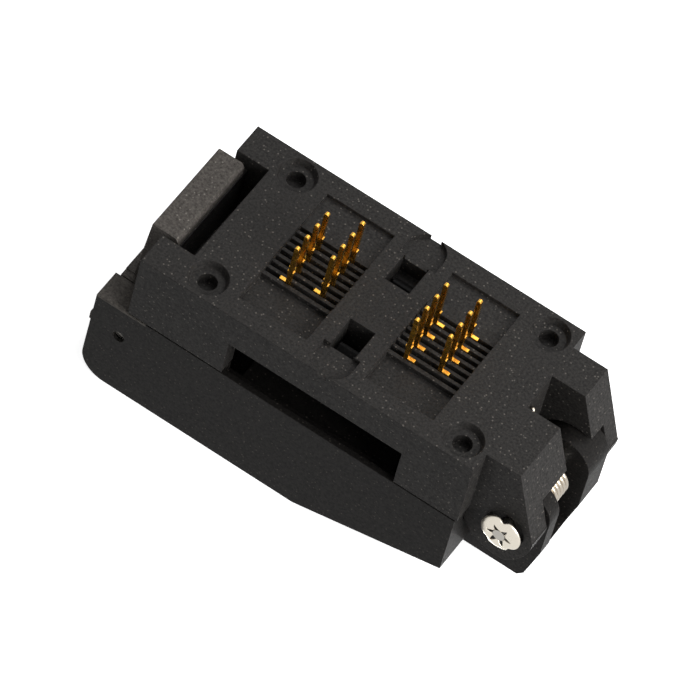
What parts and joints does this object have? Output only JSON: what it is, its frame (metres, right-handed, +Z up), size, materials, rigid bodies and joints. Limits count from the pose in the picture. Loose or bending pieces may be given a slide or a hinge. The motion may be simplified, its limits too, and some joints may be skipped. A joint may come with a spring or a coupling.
{
  "type": "ic socket",
  "caption": "Clamshell test socket for a small-outline chip: black moulded base with gold board tails, hinged sprung lid and hook latch.",
  "frame": {"origin": "on the seating face, midway between the two contact combs", "axes": "+X along the body to the hinge, +Y across, +Z up through the lid"},
  "size_m": [0.0379, 0.0154, 0.0203],
  "materials": {
    "base_plastic": "matte black glass-filled moulding",
    "nest_plastic": "matte black moulding",
    "lid_plastic": "matte black glass-filled moulding",
    "latch_plastic": "matte black moulding",
    "contact_gold": "gold plate on copper alloy",
    "steel": "plain steel pin",
    "washer_plate": "warm nickel plate",
    "spring_wire": "bright spring wire"
  },
  "bodies": {
    "base": {"base_body": "base_plastic", "ic_nest": "nest_plastic", "contact_l1": "contact_gold", "contact_l2": "contact_gold", "contact_l3": "contact_gold", "contact_l4": "contact_gold", "contact_l5": "contact_gold", "contact_l6": "contact_gold", "contact_l7": "contact_gold", "contact_l8": "contact_gold", "contact_r1": "contact_gold", "contact_r2": "contact_gold", "contact_r3": "contact_gold", "contact_r4": "contact_gold", "contact_r5": "contact_gold", "contact_r6": "contact_gold", "contact_r7": "contact_gold", "contact_r8": "contact_gold", "hinge_shaft": "steel", "star_washer": "washer_plate", "hinge_spring": "spring_wire"},
    "lid": {"lid_shell": "lid_plastic", "latch_pin": "steel", "latch_spring": "spring_wire", "presser_spring_1": "spring_wire", "presser_spring_2": "spring_wire", "presser_spring_3": "spring_wire", "presser_spring_4": "spring_wire"},
    "presser": {"presser": "lid_plastic"},
    "latch": {"latch_lever": "latch_plastic"}
  },
  "joints": [
    {"name": "lid_hinge", "type": "hinge", "parent": "base", "child": "lid", "pos_m": [0.0159, 0, 0.0066], "axis": [0, 1, 0], "range_deg": [0, 90], "deforming": ["hinge_spring"]},
    {"name": "presser_float", "type": "slide", "parent": "lid", "child": "presser", "axis": [0, 0, 1], "range_m": [0, 0.0005], "stiffness_N_per_m": 400, "springref_m": -0.0008, "deforming": ["presser_spring_1", "presser_spring_2", "presser_spring_3", "presser_spring_4"]},
    {"name": "latch_pivot", "type": "hinge", "parent": "lid", "child": "latch", "pos_m": [-0.01588, 0, 0.00992], "axis": [0, 1, 0], "range_deg": [0, 7], "stiffness_Nm_per_rad": 0.012, "springref_deg": -5.73, "deforming": ["latch_spring"]}
  ]
}
